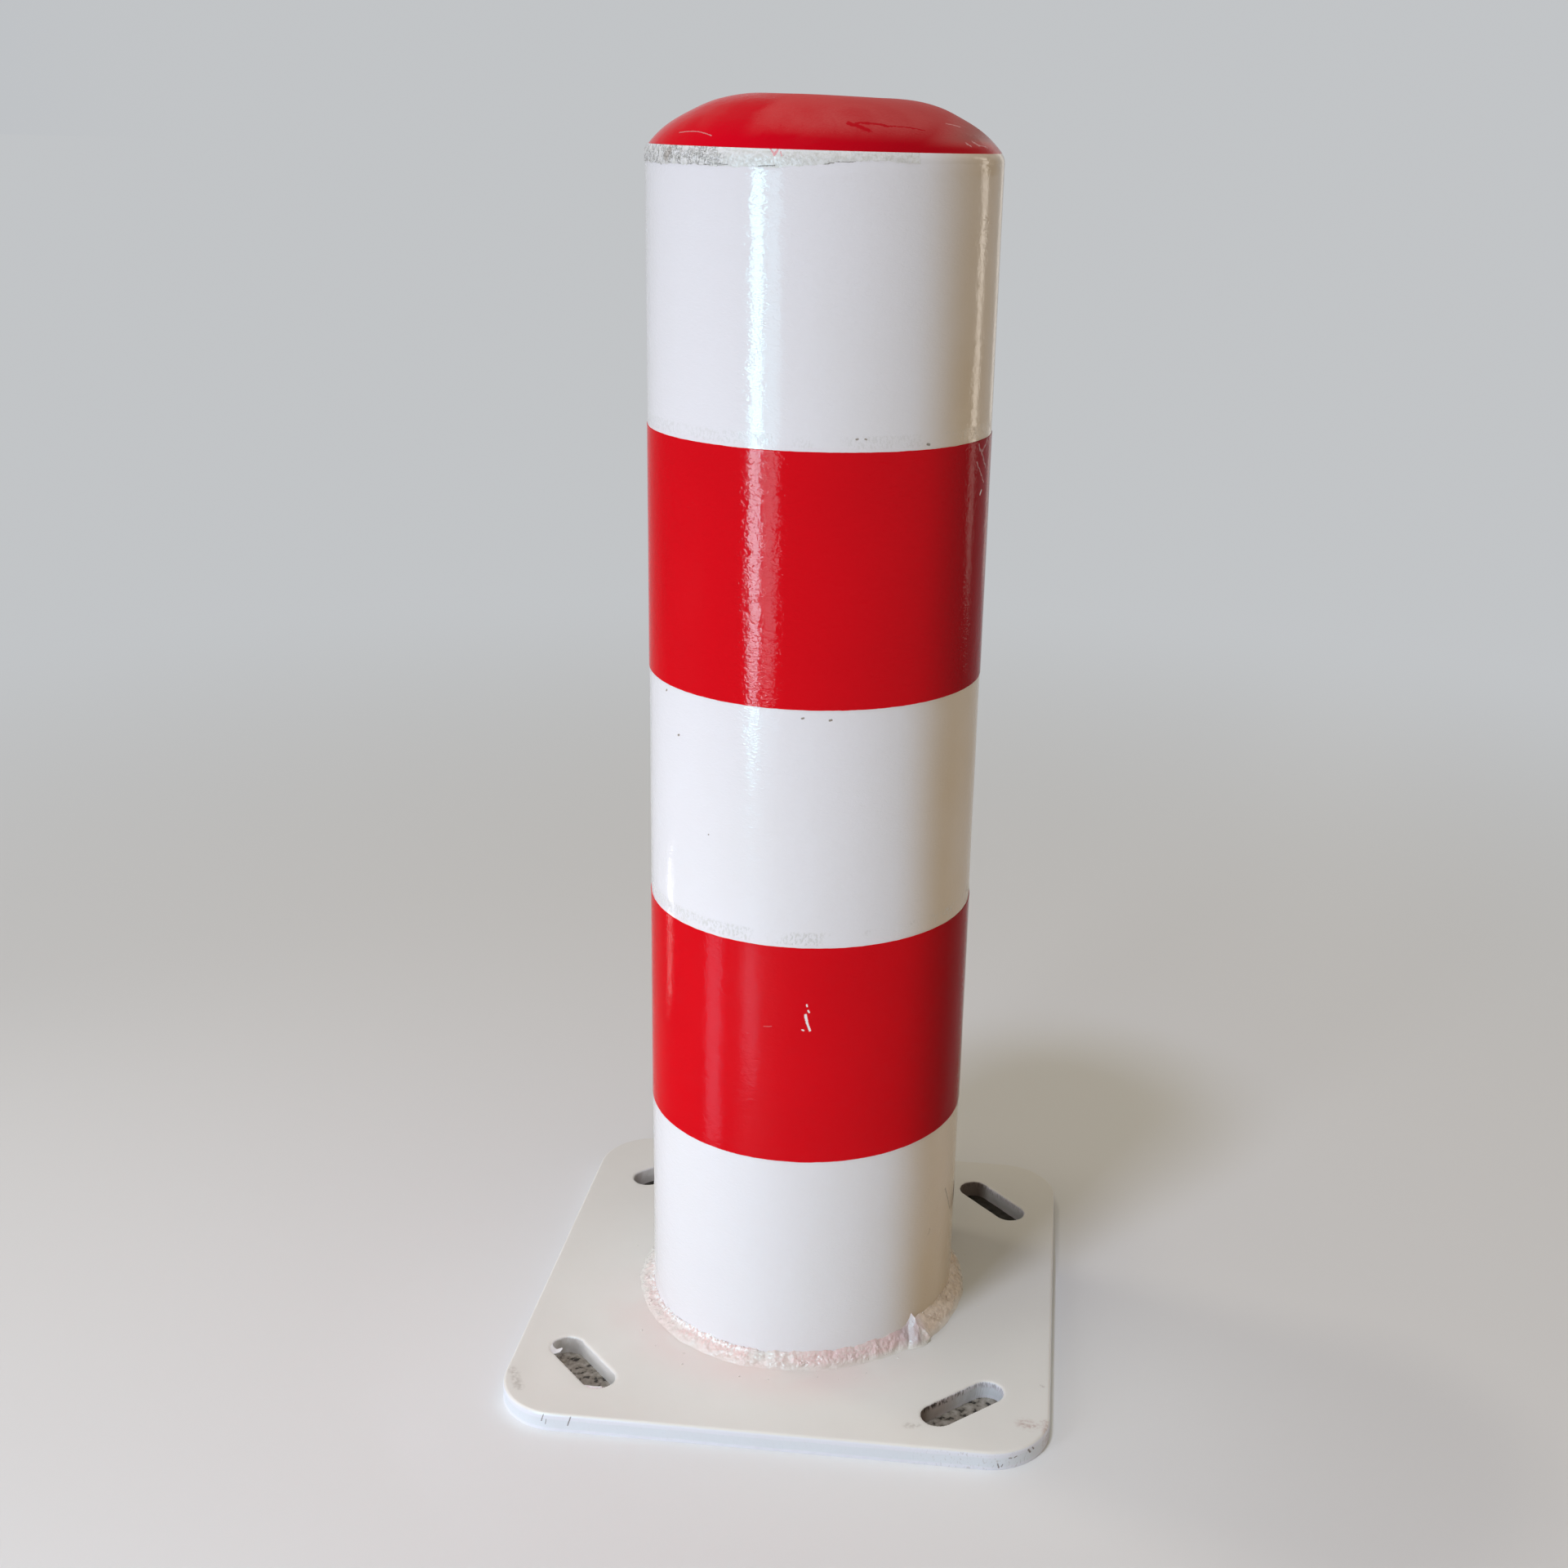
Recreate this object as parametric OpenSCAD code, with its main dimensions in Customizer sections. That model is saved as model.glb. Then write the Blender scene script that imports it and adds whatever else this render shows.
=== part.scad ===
// Surface-mounted steel bollard.
// A round tube stands on a square slotted base plate and is closed by a pressed, domed cap.
// An uneven fillet bead holds the foot, and a seam ground flush holds the cap.
// Two masked coats of red paint ring the tube; the cap is painted red all over.
// The origin is on the ground under the centre of the plate, and +Z runs up the tube.

/* [Base plate] */
// Side of the square base plate
plate_w = 280; // [260:1:400]
// Thickness of the base plate
plate_t = 10; // [6:1:20]
// Radius of the plate's rounded corners
plate_corner_r = 32; // [10:1:50]
// Melted-back break along the plate's upper edge
plate_edge_break = 1; // [0.4:0.1:3]

/* [Anchor slots] */
// Distance between slot centres along each side of the plate
slot_pitch = 198; // [186:1:214]
// Length of a slot from end to end
slot_length = 50; // [32:1:64]
// Width of a slot
slot_width = 18; // [14:0.5:30]
// Angle between a slot and the side of the plate
slot_turn = 45; // [0:5:90]
// Turn of all four slots together about the middle of the plate
pattern_turn = -2; // [-5:0.5:5]

/* [Post tube] */
// Outside diameter of the tube
post_d = 165; // [120:1:180]
// Wall of the tube
post_wall = 4; // [3:0.5:8]
// Length of the tube
post_h = 600; // [520:10:1200]

/* [Domed cap] */
// Height of the cap above the rim of the tube
cap_rise = 25; // [14:1:34]
// Slope of the cap's outer face where it meets the rim, in degrees
cap_edge_angle = 52; // [46:1:75]
// Sheet thickness of the cap
cap_wall = 4; // [3:0.5:6]

/* [Welds] */
// Leg of the foot bead along the plate
bead_plate_leg = 7; // [5:0.5:12]
// Mean leg of the foot bead up the tube
bead_tube_leg = 7; // [5:0.5:12]
// How much further the bead climbs the tube on its heavy side
bead_climb = 3; // [0:0.5:4]
// Unevenness of the bead
bead_ripple = 0.7; // [0:0.1:1]
// Size of the lump where the foot bead was ended
bead_stop_size = 3; // [0:0.5:5]
// Place of that lump around the tube, in degrees from +X
bead_stop_angle = -39; // [-180:1:180]
// Radius that the cap seam is ground to
seam_round = 7; // [3:0.5:9]
// Depth of the bevel that holds the cap seam
seam_depth = 2.5; // [2.2:0.1:2.9]

/* [Red coats] */
// Height of the lower red band
band_lower_h = 117; // [20:1:130]
// Height of the upper red band
band_upper_h = 119; // [20:1:130]
// Clear white below the lower band, from the plate
band_lower_gap = 119; // [20:1:130]
// Clear white between the two bands
band_middle_gap = 119; // [20:1:130]
// Thickness of a red coat
coat_t = 0.3; // [0.2:0.1:1]

/* [Hidden] */
$fn = 180;
// Stations around the foot bead and steps across its face
bead_stations = 144;
bead_steps = 5;
cut = 1;

post_r = post_d / 2;
post_inner_r = post_r - post_wall;
rim_z = plate_t + post_h;

// The cap is a flat middle and one knuckle arc that ends on the rim at the edge angle
knuckle_r = cap_rise / (1 - cos(cap_edge_angle));
seam_inset = seam_round * (1 - sin(cap_edge_angle));
seam_drop = seam_round * cos(cap_edge_angle);
cap_rim_r = post_r - seam_inset;
cap_flat_r = cap_rim_r - knuckle_r * sin(cap_edge_angle);

band_lower_z = plate_t + band_lower_gap;
band_upper_z = band_lower_z + band_lower_h + band_middle_gap;

red = [0.80, 0.05, 0.09];
white = [0.90, 0.91, 0.92];
plate_white = [0.84, 0.84, 0.82];
bead_pink = [0.90, 0.80, 0.78];

// Half of the square plate's body: a bar between the corners with both upper edges broken
module plate_bar() {
    half = plate_w / 2;
    span = plate_w - 2 * plate_corner_r;
    rotate([90, 0, 0])
        linear_extrude(height = span, center = true)
            polygon([
                [-half, 0],
                [half, 0],
                [half, plate_t - plate_edge_break],
                [half - plate_edge_break, plate_t],
                [-half + plate_edge_break, plate_t],
                [-half, plate_t - plate_edge_break]
            ]);
}

module plate_corner() {
    straight_h = plate_t - plate_edge_break;
    cylinder(h = straight_h, r = plate_corner_r);
    translate([0, 0, straight_h])
        cylinder(h = plate_edge_break, r1 = plate_corner_r, r2 = plate_corner_r - plate_edge_break);
}

module anchor_slot() {
    end_offset = (slot_length - slot_width) / 2;
    depth = plate_t + 2 * cut;
    translate([0, 0, -cut]) {
        for (side = [-1, 1])
            translate([side * end_offset, 0, 0])
                cylinder(h = depth, d = slot_width);
        translate([-end_offset, -slot_width / 2, 0])
            cube([2 * end_offset, slot_width, depth]);
    }
}

module base_plate() {
    corner = plate_w / 2 - plate_corner_r;
    color(plate_white)
        difference() {
            union() {
                plate_bar();
                rotate(90) plate_bar();
                for (x = [-1, 1], y = [-1, 1])
                    translate([x * corner, y * corner, 0]) plate_corner();
            }
            rotate(pattern_turn)
                for (x = [-1, 1], y = [-1, 1])
                    translate([x * slot_pitch / 2, y * slot_pitch / 2, 0])
                        rotate(-x * y * slot_turn) anchor_slot();
        }
}

// The rim is bevelled outside to take the cap seam
module post_tube() {
    color(white)
        rotate_extrude()
            polygon([
                [post_inner_r, plate_t],
                [post_r, plate_t],
                [post_r, rim_z - seam_drop],
                [post_r - seam_depth, rim_z],
                [post_inner_r, rim_z]
            ]);
}

// Section of the space under the cap's sheet, or of the whole dome when depth is 0
module dome_section(depth) {
    intersection() {
        union() {
            square([cap_flat_r, cap_rise - depth]);
            translate([cap_flat_r, cap_rise - knuckle_r]) circle(r = knuckle_r - depth);
        }
        square([post_r, cap_rise]);
    }
}

module domed_cap() {
    color(red)
        translate([0, 0, rim_z])
            rotate_extrude()
                difference() {
                    dome_section(0);
                    dome_section(cap_wall);
                }
}

// Weld metal that fills the bevel and is ground round from the tube's side to the cap's slope
module cap_weld() {
    color(white)
        translate([0, 0, rim_z])
            rotate_extrude()
                intersection() {
                    translate([post_r - seam_round, -seam_drop]) circle(r = seam_round);
                    polygon([
                        [post_r - seam_depth, 0],
                        [post_r, -seam_drop],
                        [post_r + cut, -seam_drop],
                        [post_r + cut, 0]
                    ]);
                }
}

// Slow waves of several lengths, which never repeat around the tube and stay within +-1
function waves(a, shift) =
    0.4 * sin(3 * a + shift) + 0.3 * sin(7 * a + 2 * shift) + 0.2 * sin(17 * a + 5 * shift)
    + 0.1 * sin(31 * a + 11 * shift);

// Angle from the lump, taken the short way round
function from_stop(a) = abs(((a - bead_stop_angle + 540) % 360) - 180);
function stop_lump(a) = bead_stop_size * exp(-pow(from_stop(a) / 4, 2));

function plate_leg(a) = bead_plate_leg + bead_ripple * waves(a, 20) + stop_lump(a);
function tube_leg(a) =
    bead_tube_leg + bead_climb * cos(a) + bead_ripple * waves(a, 70) + stop_lump(a) / 2;

// Fullness of the bead's face over the straight line between its two toes
function bead_crown(a) = 0.8 + bead_ripple * waves(a, 130) / 2 + stop_lump(a) / 2;

// One section of the bead: the root, then the face from the plate's toe to the tube's toe
function bead_section(a, inner_r) = [
    for (k = [-1 : bead_steps])
        let (
            along = k / bead_steps,
            full = bead_crown(a) * sin(180 * along),
            out = k < 0 ? 0 : plate_leg(a) * (1 - along) + full,
            up = k < 0 ? 0 : tube_leg(a) * along + full,
            r = inner_r + out
        )
        [r * cos(a), r * sin(a), plate_t + up]
];

module base_weld() {
    ring = bead_steps + 2;
    count = bead_stations * ring;
    // The flats between stations just touch the round tube
    inner_r = post_r / cos(180 / bead_stations);
    points = [
        for (i = [0 : bead_stations - 1])
            each bead_section(i * 360 / bead_stations, inner_r)
    ];
    faces = [
        for (i = [0 : bead_stations - 1], k = [0 : ring - 1])
            let (
                here = i * ring + k,
                over = i * ring + (k + 1) % ring,
                next = (here + ring) % count,
                next_over = (over + ring) % count
            )
            each [[here, over, next], [over, next_over, next]]
    ];
    color(bead_pink) polyhedron(points = points, faces = faces);
}

// A red coat: a thin sleeve on the outside of the tube
module red_coat(bottom_z, height) {
    color(red)
        translate([0, 0, bottom_z])
            difference() {
                cylinder(h = height, r = post_r + coat_t);
                translate([0, 0, -cut]) cylinder(h = height + 2 * cut, r = post_r);
            }
}

module red_band_lower() { red_coat(band_lower_z, band_lower_h); }

module red_band_upper() { red_coat(band_upper_z, band_upper_h); }

base_plate();
post_tube();
base_weld();
domed_cap();
cap_weld();
red_band_lower();
red_band_upper();
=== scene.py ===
"""Surface-mounted steel bollard: the painted weldment and the stage that it stands on."""
import math
import random

import bmesh
import bpy
from bpy.props import FloatProperty, FloatVectorProperty, PointerProperty
from mathutils import Matrix, Vector, noise
from mathutils.geometry import delaunay_2d_cdt


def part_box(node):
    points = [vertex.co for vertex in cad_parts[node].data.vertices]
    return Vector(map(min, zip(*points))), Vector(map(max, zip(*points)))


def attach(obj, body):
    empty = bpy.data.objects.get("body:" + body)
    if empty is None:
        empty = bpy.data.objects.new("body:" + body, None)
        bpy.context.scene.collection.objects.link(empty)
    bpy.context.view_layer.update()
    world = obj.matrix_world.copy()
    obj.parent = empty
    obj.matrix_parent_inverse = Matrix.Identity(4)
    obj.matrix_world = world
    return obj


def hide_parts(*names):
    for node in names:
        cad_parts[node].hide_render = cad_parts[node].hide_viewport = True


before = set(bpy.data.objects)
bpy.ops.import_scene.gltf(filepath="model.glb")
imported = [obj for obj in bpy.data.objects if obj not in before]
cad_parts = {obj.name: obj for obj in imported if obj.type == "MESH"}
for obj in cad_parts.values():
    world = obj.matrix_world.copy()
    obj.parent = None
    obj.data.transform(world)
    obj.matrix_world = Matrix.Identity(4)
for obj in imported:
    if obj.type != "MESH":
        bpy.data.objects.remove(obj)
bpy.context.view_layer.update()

bl_info = {
    "name": "Steel Bollard",
    "version": (1, 0, 0),
    "blender": (4, 5, 0),
    "location": "3D View > Sidebar > Bollard",
    "description": "Builds a banded steel bollard on a slotted base plate, and a plain stage for it",
    "category": "Add Mesh",
}

MM = 0.001
TURN = 2 * math.pi
BURIED = 0.3 * MM    # how far the bead and the red coats reach under the surface that they lie on
ROOT = 0.5 * MM      # how far the bead reaches into the tube's wall

plate_high, tube_high, cap_high = (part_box(node)[1] for node in ("base_plate", "post_tube", "domed_cap"))
lower_low, lower_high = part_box("red_band_lower")
upper_low, upper_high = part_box("red_band_upper")


# Settings

def length(name, description, value):
    return FloatProperty(name=name, description=description, default=value, min=0.0, unit="LENGTH")


def angle(name, description, degrees):
    return FloatProperty(name=name, description=description, default=math.radians(degrees), unit="ROTATION")


def amount(name, description, value, top=1.0):
    return FloatProperty(name=name, description=description, default=value, min=0.0, max=top)


def colour(name, description, value):
    return FloatVectorProperty(
        name=name, description=description, default=value, size=3, min=0.0, max=1.0, subtype="COLOR")


class BollardSizes(bpy.types.PropertyGroup):
    """Sizes of the weldment"""

    plate_half: length("Plate half width", "Half the side of the base plate", plate_high.x)
    plate_thickness: length("Plate thickness", "Thickness of the base plate", plate_high.z)
    plate_corner: length("Plate corner", "Radius of the plate's corners", 32 * MM)
    plate_edge: length("Plate edge", "Rounding of the plate's upper edge", 1.8 * MM)
    slot_pitch: length("Slot pitch", "Distance between slot centres", 198 * MM)
    slot_length: length("Slot length", "Length of an anchor slot", 50 * MM)
    slot_width: length("Slot width", "Width of an anchor slot", 18 * MM)
    pattern_turn: angle("Pattern turn", "Turn of all four slots about the middle of the plate", -2)
    slot_lip: length("Slot lip", "Rounding of a slot's flame-cut upper edge", 1.4 * MM)
    post_radius: length("Post radius", "Outside radius of the tube", tube_high.x)
    post_wall: length("Post wall", "Wall of the tube", 4 * MM)
    rim_height: length("Rim height", "Height of the tube's rim", tube_high.z)
    cap_rise: length("Cap rise", "Height of the cap above the rim", cap_high.z - tube_high.z)
    cap_edge_angle: angle("Cap edge angle", "Slope of the cap where it meets the rim", 52)
    cap_wall: length("Cap wall", "Sheet thickness of the cap", 4 * MM)
    seam_round: length("Seam radius", "Radius that the cap seam is ground to", 7 * MM)
    seam_depth: length("Seam depth", "Depth of the bevel under the cap seam", 2.5 * MM)
    strip_width: length("Rough strip width", "Width of the torn paint strip under the cap", 8 * MM)
    strip_height: length("Rough strip height", "Thickness of the torn paint strip", 0.5 * MM)
    strip_start: angle("Rough strip start", "Where the torn strip begins around the tube", -216)
    strip_end: angle("Rough strip end", "Where the torn strip ends around the tube", -53.6)
    coat: length("Coat thickness", "Thickness of a red coat", 0.28 * MM)
    bead_plate_leg: length("Bead foot", "Leg of the foot bead along the plate", 7 * MM)
    bead_tube_leg: length("Bead climb", "Mean leg of the foot bead up the tube", 7 * MM)
    bead_heavy: length("Bead heavy side", "Extra climb of the bead on its heavy side", 3 * MM)
    bead_stop: angle("Bead stop", "Where the foot bead was ended, from +X", -38.2)


class BollardPaint(bpy.types.PropertyGroup):
    """Colours of the paint and of its wear, and of the shade painted on it"""

    white: colour("White", "Gloss white on the tube", (0.79, 0.785, 0.825))
    # Painted shade: a warmer, darker white for the tube's shaded right side.
    warm_shade: colour("Warm shaded white", "White painted warmer and darker on one side of the tube, as shade", (0.65, 0.52, 0.37))
    red: colour("Red", "Gloss red of the bands", (0.66, 0.0, 0.006))
    cap_red: colour("Cap red", "Red of the cap", (0.70, 0.0, 0.012))
    plate: colour("Plate white", "Off-white of the base plate", (0.75, 0.735, 0.70))
    fresh: colour("Fresh white", "Thick white on the plate's edges", (0.69, 0.72, 0.78))
    dust: colour("Dust", "Pale dust on the cap", (0.70, 0.27, 0.24))
    overspray: colour("Overspray", "Pink overspray on the bead", (0.78, 0.46, 0.45))
    grime: colour("Grime", "Grey-brown dirt and rubs", (0.30, 0.26, 0.22))
    residue: colour("Residue", "Grey tape residue", (0.52, 0.52, 0.49))
    chip: colour("Chip", "Undercoat in a scratch", (0.85, 0.80, 0.80))
    peel_size: length("Orange peel size", "Width of an orange peel cell", 1.8 * MM)
    peel_height: length("Orange peel height", "Height of the orange peel", 0.10 * MM)


class BollardStage(bpy.types.PropertyGroup):
    """Camera, lights and floor"""

    camera_place: FloatVectorProperty(
        name="Camera place", description="Where the camera stands", size=3, subtype="XYZ", unit="LENGTH",
        default=(0.1126, -0.9255, 0.6207))
    camera_heading: angle("Camera heading", "Turn of the camera away from +Y, towards +X", -5.26)
    camera_tilt: angle("Camera tilt", "How far the camera looks down", 19.14)
    camera_roll: angle("Camera roll", "Roll of the camera, anticlockwise", 1.73)
    camera_lens: FloatProperty(name="Lens", description="Focal length", default=44.19, unit="CAMERA")
    camera_shift: FloatVectorProperty(
        name="Shift", description="Sideways and upward lens shift", size=2, default=(-0.0521, 0.0057))
    floor: colour("Floor", "Colour of the floor", (0.76, 0.76, 0.765))
    backdrop: colour("Backdrop", "Colour of the surroundings", (0.54, 0.555, 0.57))
    sky: colour("Overhead", "Light from overhead, in front", (0.43, 0.40, 0.31))
    ceiling: colour("Ceiling", "Light from overhead, behind", (0.22, 0.20, 0.17))
    left: colour("Left side", "Light from the left", (0.45, 0.48, 0.53))
    right: colour("Right side", "Light from the right", (0.26, 0.16, 0.07))
    window: amount("Window", "Radiance of the tall window light", 10.5, 50.0)


# Shader building

def darker(tone, part):
    """A colour brought down to a part of its strength."""
    return tuple(part * value for value in tone)


class Nodes:
    """Short ways to add nodes to one node tree."""

    def __init__(self, tree):
        self.nodes, self.links = tree.nodes, tree.links

    def put(self, socket, value):
        if isinstance(value, bpy.types.NodeSocket):
            self.links.new(value, socket)
        else:
            socket.default_value = value

    def node(self, kind, inputs=None, **settings):
        made = self.nodes.new(kind)
        for key, value in settings.items():
            setattr(made, key, value)
        for key, value in (inputs or {}).items():
            self.put(made.inputs[key], value)
        return made

    def math(self, operation, *values):
        return self.node("ShaderNodeMath", dict(enumerate(values)), operation=operation).outputs[0]

    def times(self, first, *others):
        for other in others:
            first = self.math("MULTIPLY", first, other)
        return first

    def highest(self, first, *others):
        for other in others:
            first = self.math("MAXIMUM", first, other)
        return first

    def inverse(self, mask):
        return self.math("SUBTRACT", 1.0, mask)

    def vector(self, operation, *values, output="Vector"):
        made = self.node("ShaderNodeVectorMath", dict(enumerate(values)), operation=operation)
        return made.outputs[output]

    def apart(self, vector):
        return self.node("ShaderNodeSeparateXYZ", {0: vector}).outputs

    def together(self, x, y, z=0.0):
        return self.node("ShaderNodeCombineXYZ", {0: x, 1: y, 2: z}).outputs[0]

    def reach(self, x, y):
        """Distance of (x, y) from the origin."""
        return self.vector("LENGTH", self.together(x, y), output="Value")

    def ramp(self, value, low, high, start=0.0, end=1.0, kind="SMOOTHSTEP"):
        """Step of value from start at low to end at high, smooth unless its kind is given."""
        return self.node("ShaderNodeMapRange", {
            "Value": value, "From Min": low, "From Max": high, "To Min": start, "To Max": end},
            interpolation_type=kind).outputs["Result"]

    def span(self, value, start, full, ebb, end):
        """1 from full to ebb, going smoothly down to 0 at start and at end."""
        return self.times(self.ramp(value, start, full), self.ramp(value, end, ebb))

    def mix(self, factor, first, second):
        made = self.node("ShaderNodeMix", data_type="RGBA")
        self.put(made.inputs["Factor"], factor)
        for index, value in ((6, first), (7, second)):
            if not isinstance(value, bpy.types.NodeSocket):
                value = (*value, 1.0)
            self.put(made.inputs[index], value)
        return made.outputs[2]


class Paint(Nodes):
    """One material, whose colour is laid on tone by tone."""

    def __init__(self, name, tone, specular=0.4):
        self.material = bpy.data.materials.new(name)
        self.material.use_nodes = True
        super().__init__(self.material.node_tree)
        self.tone = tone
        self.shader = self.nodes["Principled BSDF"]
        self.shader.inputs["Specular IOR Level"].default_value = specular
        self.place = self.node("ShaderNodeTexCoord").outputs["Object"]

    def lay(self, mask, tone, strength=1.0):
        """Covers the colour so far with another where a mask says so."""
        if strength < 1.0:
            mask = self.times(mask, strength)
        self.tone = self.mix(mask, self.tone, tone)

    def millimetres(self, vector=None):
        """The three parts of a place in mm: the place on the object, unless another is given."""
        return self.apart(self.vector("MULTIPLY", vector or self.place, (1 / MM, 1 / MM, 1 / MM)))

    def angle(self):
        """Angle about the tube's axis from +X, in radians."""
        x, y, _ = self.apart(self.place)
        return self.math("ARCTAN2", y, x)

    def around(self):
        """Angle about the tube's axis from +X, in degrees."""
        return self.times(self.angle(), math.degrees(1))

    def skin(self, sizes):
        """Coordinates on the tube's surface: metres around it, and metres up."""
        return self.together(self.times(self.angle(), sizes.post_radius), self.apart(self.place)[2])

    def mottle(self, size, detail=2.0, seed=0.0, distort=0.0, stretch=(1, 1, 1), at=None):
        """Noise from 0 to 1 whose features are about size mm across."""
        moved = self.node("ShaderNodeMapping", {
            "Vector": at or self.place, "Location": (seed, 2 * seed, -seed), "Scale": stretch})
        return self.node("ShaderNodeTexNoise", {
            "Vector": moved.outputs[0], "Scale": 1 / (size * MM), "Detail": detail, "Distortion": distort,
        }).outputs["Fac"]

    def patches(self, size, detail, steps, **noise):
        """Noise of size mm put through a ramp, whose steps are low and high, then start and end if given."""
        return self.ramp(self.mottle(size, detail, **noise), *steps)

    def stroke(self, face, start, end, width, wander, soft=0.35):
        """1 inside a round-ended stroke from start to end in metres. Its width and wander are in mm."""
        start, end, sway = Vector(start), Vector(end), wander * MM
        middle, run = (start + end) / 2, end - start
        shake = self.node("ShaderNodeTexNoise", {"Vector": face, "Scale": 0.6 / sway, "Detail": 3.0})
        shake = self.vector("SUBTRACT", shake.outputs["Color"], (0.5, 0.5, 0.5))
        face = self.vector("ADD", face, self.vector("MULTIPLY", shake, (2 * sway, 2 * sway, 0.0)))
        local = self.node("ShaderNodeMapping", {
            "Vector": face, "Location": (*middle, 0.0), "Rotation": (0.0, 0.0, math.atan2(run.y, run.x))},
            vector_type="TEXTURE").outputs[0]
        x, y, _ = self.apart(local)
        over = self.highest(self.math("SUBTRACT", self.math("ABSOLUTE", x), run.length / 2), 0.0)
        half = width * MM / 2
        return self.ramp(self.reach(over, y), half * (1 + soft), half * (1 - soft))

    def marks(self, sizes, lines):
        """Strokes on the tube: start and end in degrees around and mm up, then width and wander."""
        skin, around = self.skin(sizes), math.radians(1) * sizes.post_radius
        return self.highest(*(
            self.stroke(skin, (a * around, up * MM), (b * around, top * MM), width, wander)
            for (a, up), (b, top), width, wander in lines))

    def flat_marks(self, lines, soft=0.35, face=None):
        """Strokes seen from above, or on the face given: start and end in mm, then width and wander."""
        return self.highest(*(
            self.stroke(face or self.place, Vector(start) * MM, Vector(end) * MM, width, wander, soft)
            for start, end, width, wander in lines))

    def bump(self, *layers):
        """Bump from pairs of a height from 0 to 1 and its real depth in mm."""
        normal = None
        for height, depth in layers:
            made = self.node("ShaderNodeBump", {"Height": height, "Distance": depth * MM})
            if normal:
                self.links.new(normal, made.inputs["Normal"])
            normal = made.outputs[0]
        self.links.new(normal, self.shader.inputs["Normal"])

    def finish(self, roughness):
        self.put(self.shader.inputs["Base Color"], self.tone)
        self.put(self.shader.inputs["Roughness"], roughness)
        return self.material


def orange_peel(paint, look):
    """Two scales of sprayed unevenness, for Paint.bump."""
    size, height = look.peel_size / MM, look.peel_height / MM
    fine = paint.mottle(size, detail=1.5, distort=0.8, stretch=(0.8, 0.8, 1.5))
    broad = paint.mottle(4 * size, detail=1.0, seed=3.0)
    return (broad, height), (fine, 1.1 * height)


def white_paint(sizes, look):
    """Gloss white with orange peel, specks and tape residue, and painted warm shade on its right side."""
    paint = Paint("gloss white paint", look.white, 0.16)
    z = paint.millimetres()[2]
    stain = paint.patches(60, 4.0, (0.45, 0.8, 0.0, 0.16), stretch=(1, 1, 0.4))
    paint.lay(stain, (0.71, 0.70, 0.665))
    # Painted warm shade on the tube's right side, broken up by patches.
    warm_shade = paint.times(
        paint.span(paint.around(), -56, -29, 25, 60), paint.patches(90, 3.0, (0.2, 0.7, 0.75, 1.0), seed=1.7))
    paint.lay(warm_shade, look.warm_shade)

    specks = paint.marks(sizes, (
        ((-134.9, 342.0), (-134.3, 342.4), 1.0, 0.3), ((-86.9, 361.2), (-86.4, 361.4), 0.9, 0.3),
        ((-78.0, 360.5), (-77.4, 360.7), 1.0, 0.3), ((-142.8, 361.4), (-142.2, 362.0), 0.9, 0.3),
        ((-47.2, 486.2), (-46.4, 485.9), 1.1, 0.3), ((-71.8, 489.7), (-71.3, 489.8), 0.8, 0.3),
        ((-69.0, 489.8), (-68.6, 489.6), 0.7, 0.3), ((-120.0, 297.0), (-119.8, 297.2), 0.6, 0.2)))
    paint.lay(specks, look.grime)
    bruises = paint.marks(sizes, (
        ((-17.5, 86.5), (-14.0, 78.0), 1.1, 0.8), ((-14.0, 78.0), (-10.5, 69.0), 0.9, 0.8)))
    paint.lay(bruises, look.grime, 0.7)

    taped = paint.highest(*(
        paint.times(paint.span(z, edge + 0.8, edge + 1.8, edge + wide - 1.3, edge + wide), share)
        for edge, wide, share in ((lower_high.z / MM, 8.5, 1.0), (upper_high.z / MM, 7.5, 0.45))))
    residue = paint.times(
        taped, paint.patches(20, 2.0, (0.42, 0.54), seed=8.0),
        paint.patches(1.1, 4.0, (0.45, 0.62), stretch=(1, 1, 0.6), seed=5.0))
    paint.lay(residue, look.residue, 0.45)
    pimple = paint.marks(sizes, (((-30.0, 69.5), (-29.8, 70.1), 2.4, 0.2), ))
    glaze = paint.patches(35, 3.0, (0.3, 0.8, 0.04, 0.09), seed=2.0)
    paint.bump(*orange_peel(paint, look), (residue, 0.10), (pimple, 0.4))
    return paint.finish(paint.math("ADD", glaze, paint.times(residue, 0.4)))


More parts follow.
